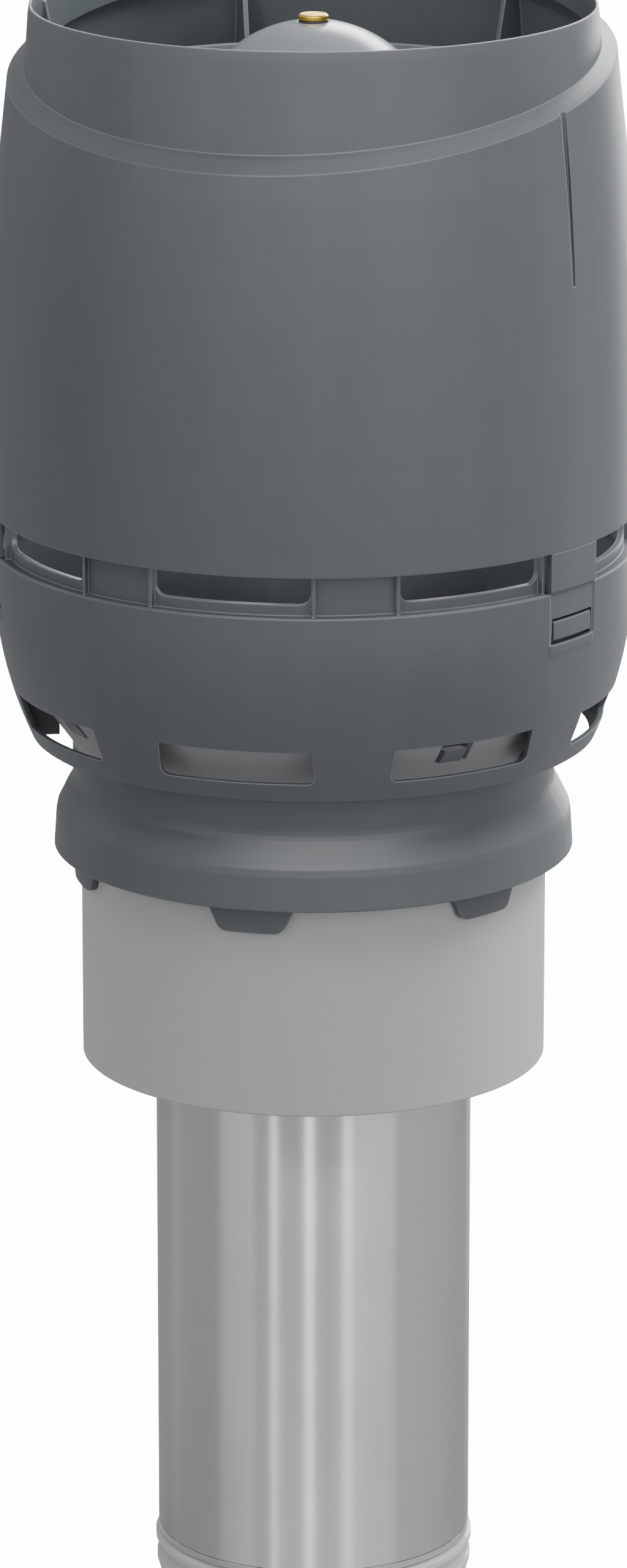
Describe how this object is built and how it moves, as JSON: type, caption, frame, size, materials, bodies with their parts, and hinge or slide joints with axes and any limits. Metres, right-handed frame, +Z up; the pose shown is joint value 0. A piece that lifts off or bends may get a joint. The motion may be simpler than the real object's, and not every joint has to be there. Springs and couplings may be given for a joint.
{
  "type": "roof vent pipe",
  "caption": "Insulated round exhaust duct ending above the roof in a tall open lift-off hood with a tilted shoulder, a louvred drain bowl, a flared roof collar and a domed rain cap.",
  "frame": {"origin": "centre of the duct's lower end, on the plane it stands on", "axes": "+Z up along the duct, -Y the front, where the hood's tilted shoulder is lowest, +X right"},
  "size_m": [0.322, 0.322, 0.83],
  "materials": {
    "duct_steel": "satin",
    "grey_rubber": "matte",
    "jacket_grey": "satin",
    "insulation": "matte",
    "slate_plastic": "satin",
    "black_rubber": "matte",
    "inner_plastic": "satin",
    "zinc_steel": "satin",
    "tube_aluminium": "satin",
    "dome_grey": "satin",
    "nut_brass": "satin"
  },
  "bodies": {
    "base": {"duct_pipe": "duct_steel", "spigot_end": "duct_steel", "lip_seal": "grey_rubber", "jacket_shell": "jacket_grey", "jacket_end_ring": "jacket_grey", "insulation_core": "insulation", "roof_collar": "slate_plastic", "tab_ring": "slate_plastic", "collar_seal": "black_rubber", "bowl": "slate_plastic", "drain_funnel": "inner_plastic", "drain_clips": "inner_plastic", "rain_cone": "inner_plastic", "duct_seal": "black_rubber", "cone_screws": "zinc_steel", "nozzle": "inner_plastic", "bridge": "zinc_steel", "bridge_screws": "zinc_steel", "stud": "zinc_steel", "stud_nuts": "zinc_steel", "stud_washers": "zinc_steel", "spacer_tube": "tube_aluminium"},
    "cap": {"dome": "dome_grey", "dome_washer": "black_rubber"},
    "nut": {"brass_nut": "nut_brass"},
    "hood": {"hood": "slate_plastic", "baffle_ring": "inner_plastic"},
    "latch_right": {"latch_right": "slate_plastic"},
    "latch_left": {"latch_left": "slate_plastic"},
    "latch_rear_right": {"latch_rear_right": "slate_plastic"},
    "latch_rear_left": {"latch_rear_left": "slate_plastic"}
  },
  "joints": [
    {"name": "hood_lift", "type": "slide", "parent": "base", "child": "hood", "axis": [0, 0, 1], "range_m": [0, 0.31]},
    {"name": "cap_lift", "type": "slide", "parent": "base", "child": "cap", "axis": [0, 0, 1], "range_m": [0, 0.11]},
    {"name": "nut_spin", "type": "hinge", "parent": "cap", "child": "nut", "pos_m": [0, 0, 0.823], "axis": [0, 0, 1], "continuous": true},
    {"name": "latch_right_flex", "type": "hinge", "parent": "hood", "child": "latch_right", "pos_m": [0.14572, -0.06036, 0.5799], "axis": [0.3827, 0.9239, 0], "range_deg": [0, 5], "stiffness_Nm_per_rad": 0.3},
    {"name": "latch_left_flex", "type": "hinge", "parent": "hood", "child": "latch_left", "pos_m": [-0.14572, -0.06036, 0.5799], "axis": [0.3827, -0.9239, 0], "range_deg": [0, 5], "stiffness_Nm_per_rad": 0.3},
    {"name": "latch_rear_right_flex", "type": "hinge", "parent": "hood", "child": "latch_rear_right", "pos_m": [0.06036, 0.14572, 0.5799], "axis": [-0.9239, 0.3827, 0], "range_deg": [0, 5], "stiffness_Nm_per_rad": 0.3},
    {"name": "latch_rear_left_flex", "type": "hinge", "parent": "hood", "child": "latch_rear_left", "pos_m": [-0.06036, 0.14572, 0.5799], "axis": [-0.9239, -0.3827, 0], "range_deg": [0, 5], "stiffness_Nm_per_rad": 0.3}
  ]
}
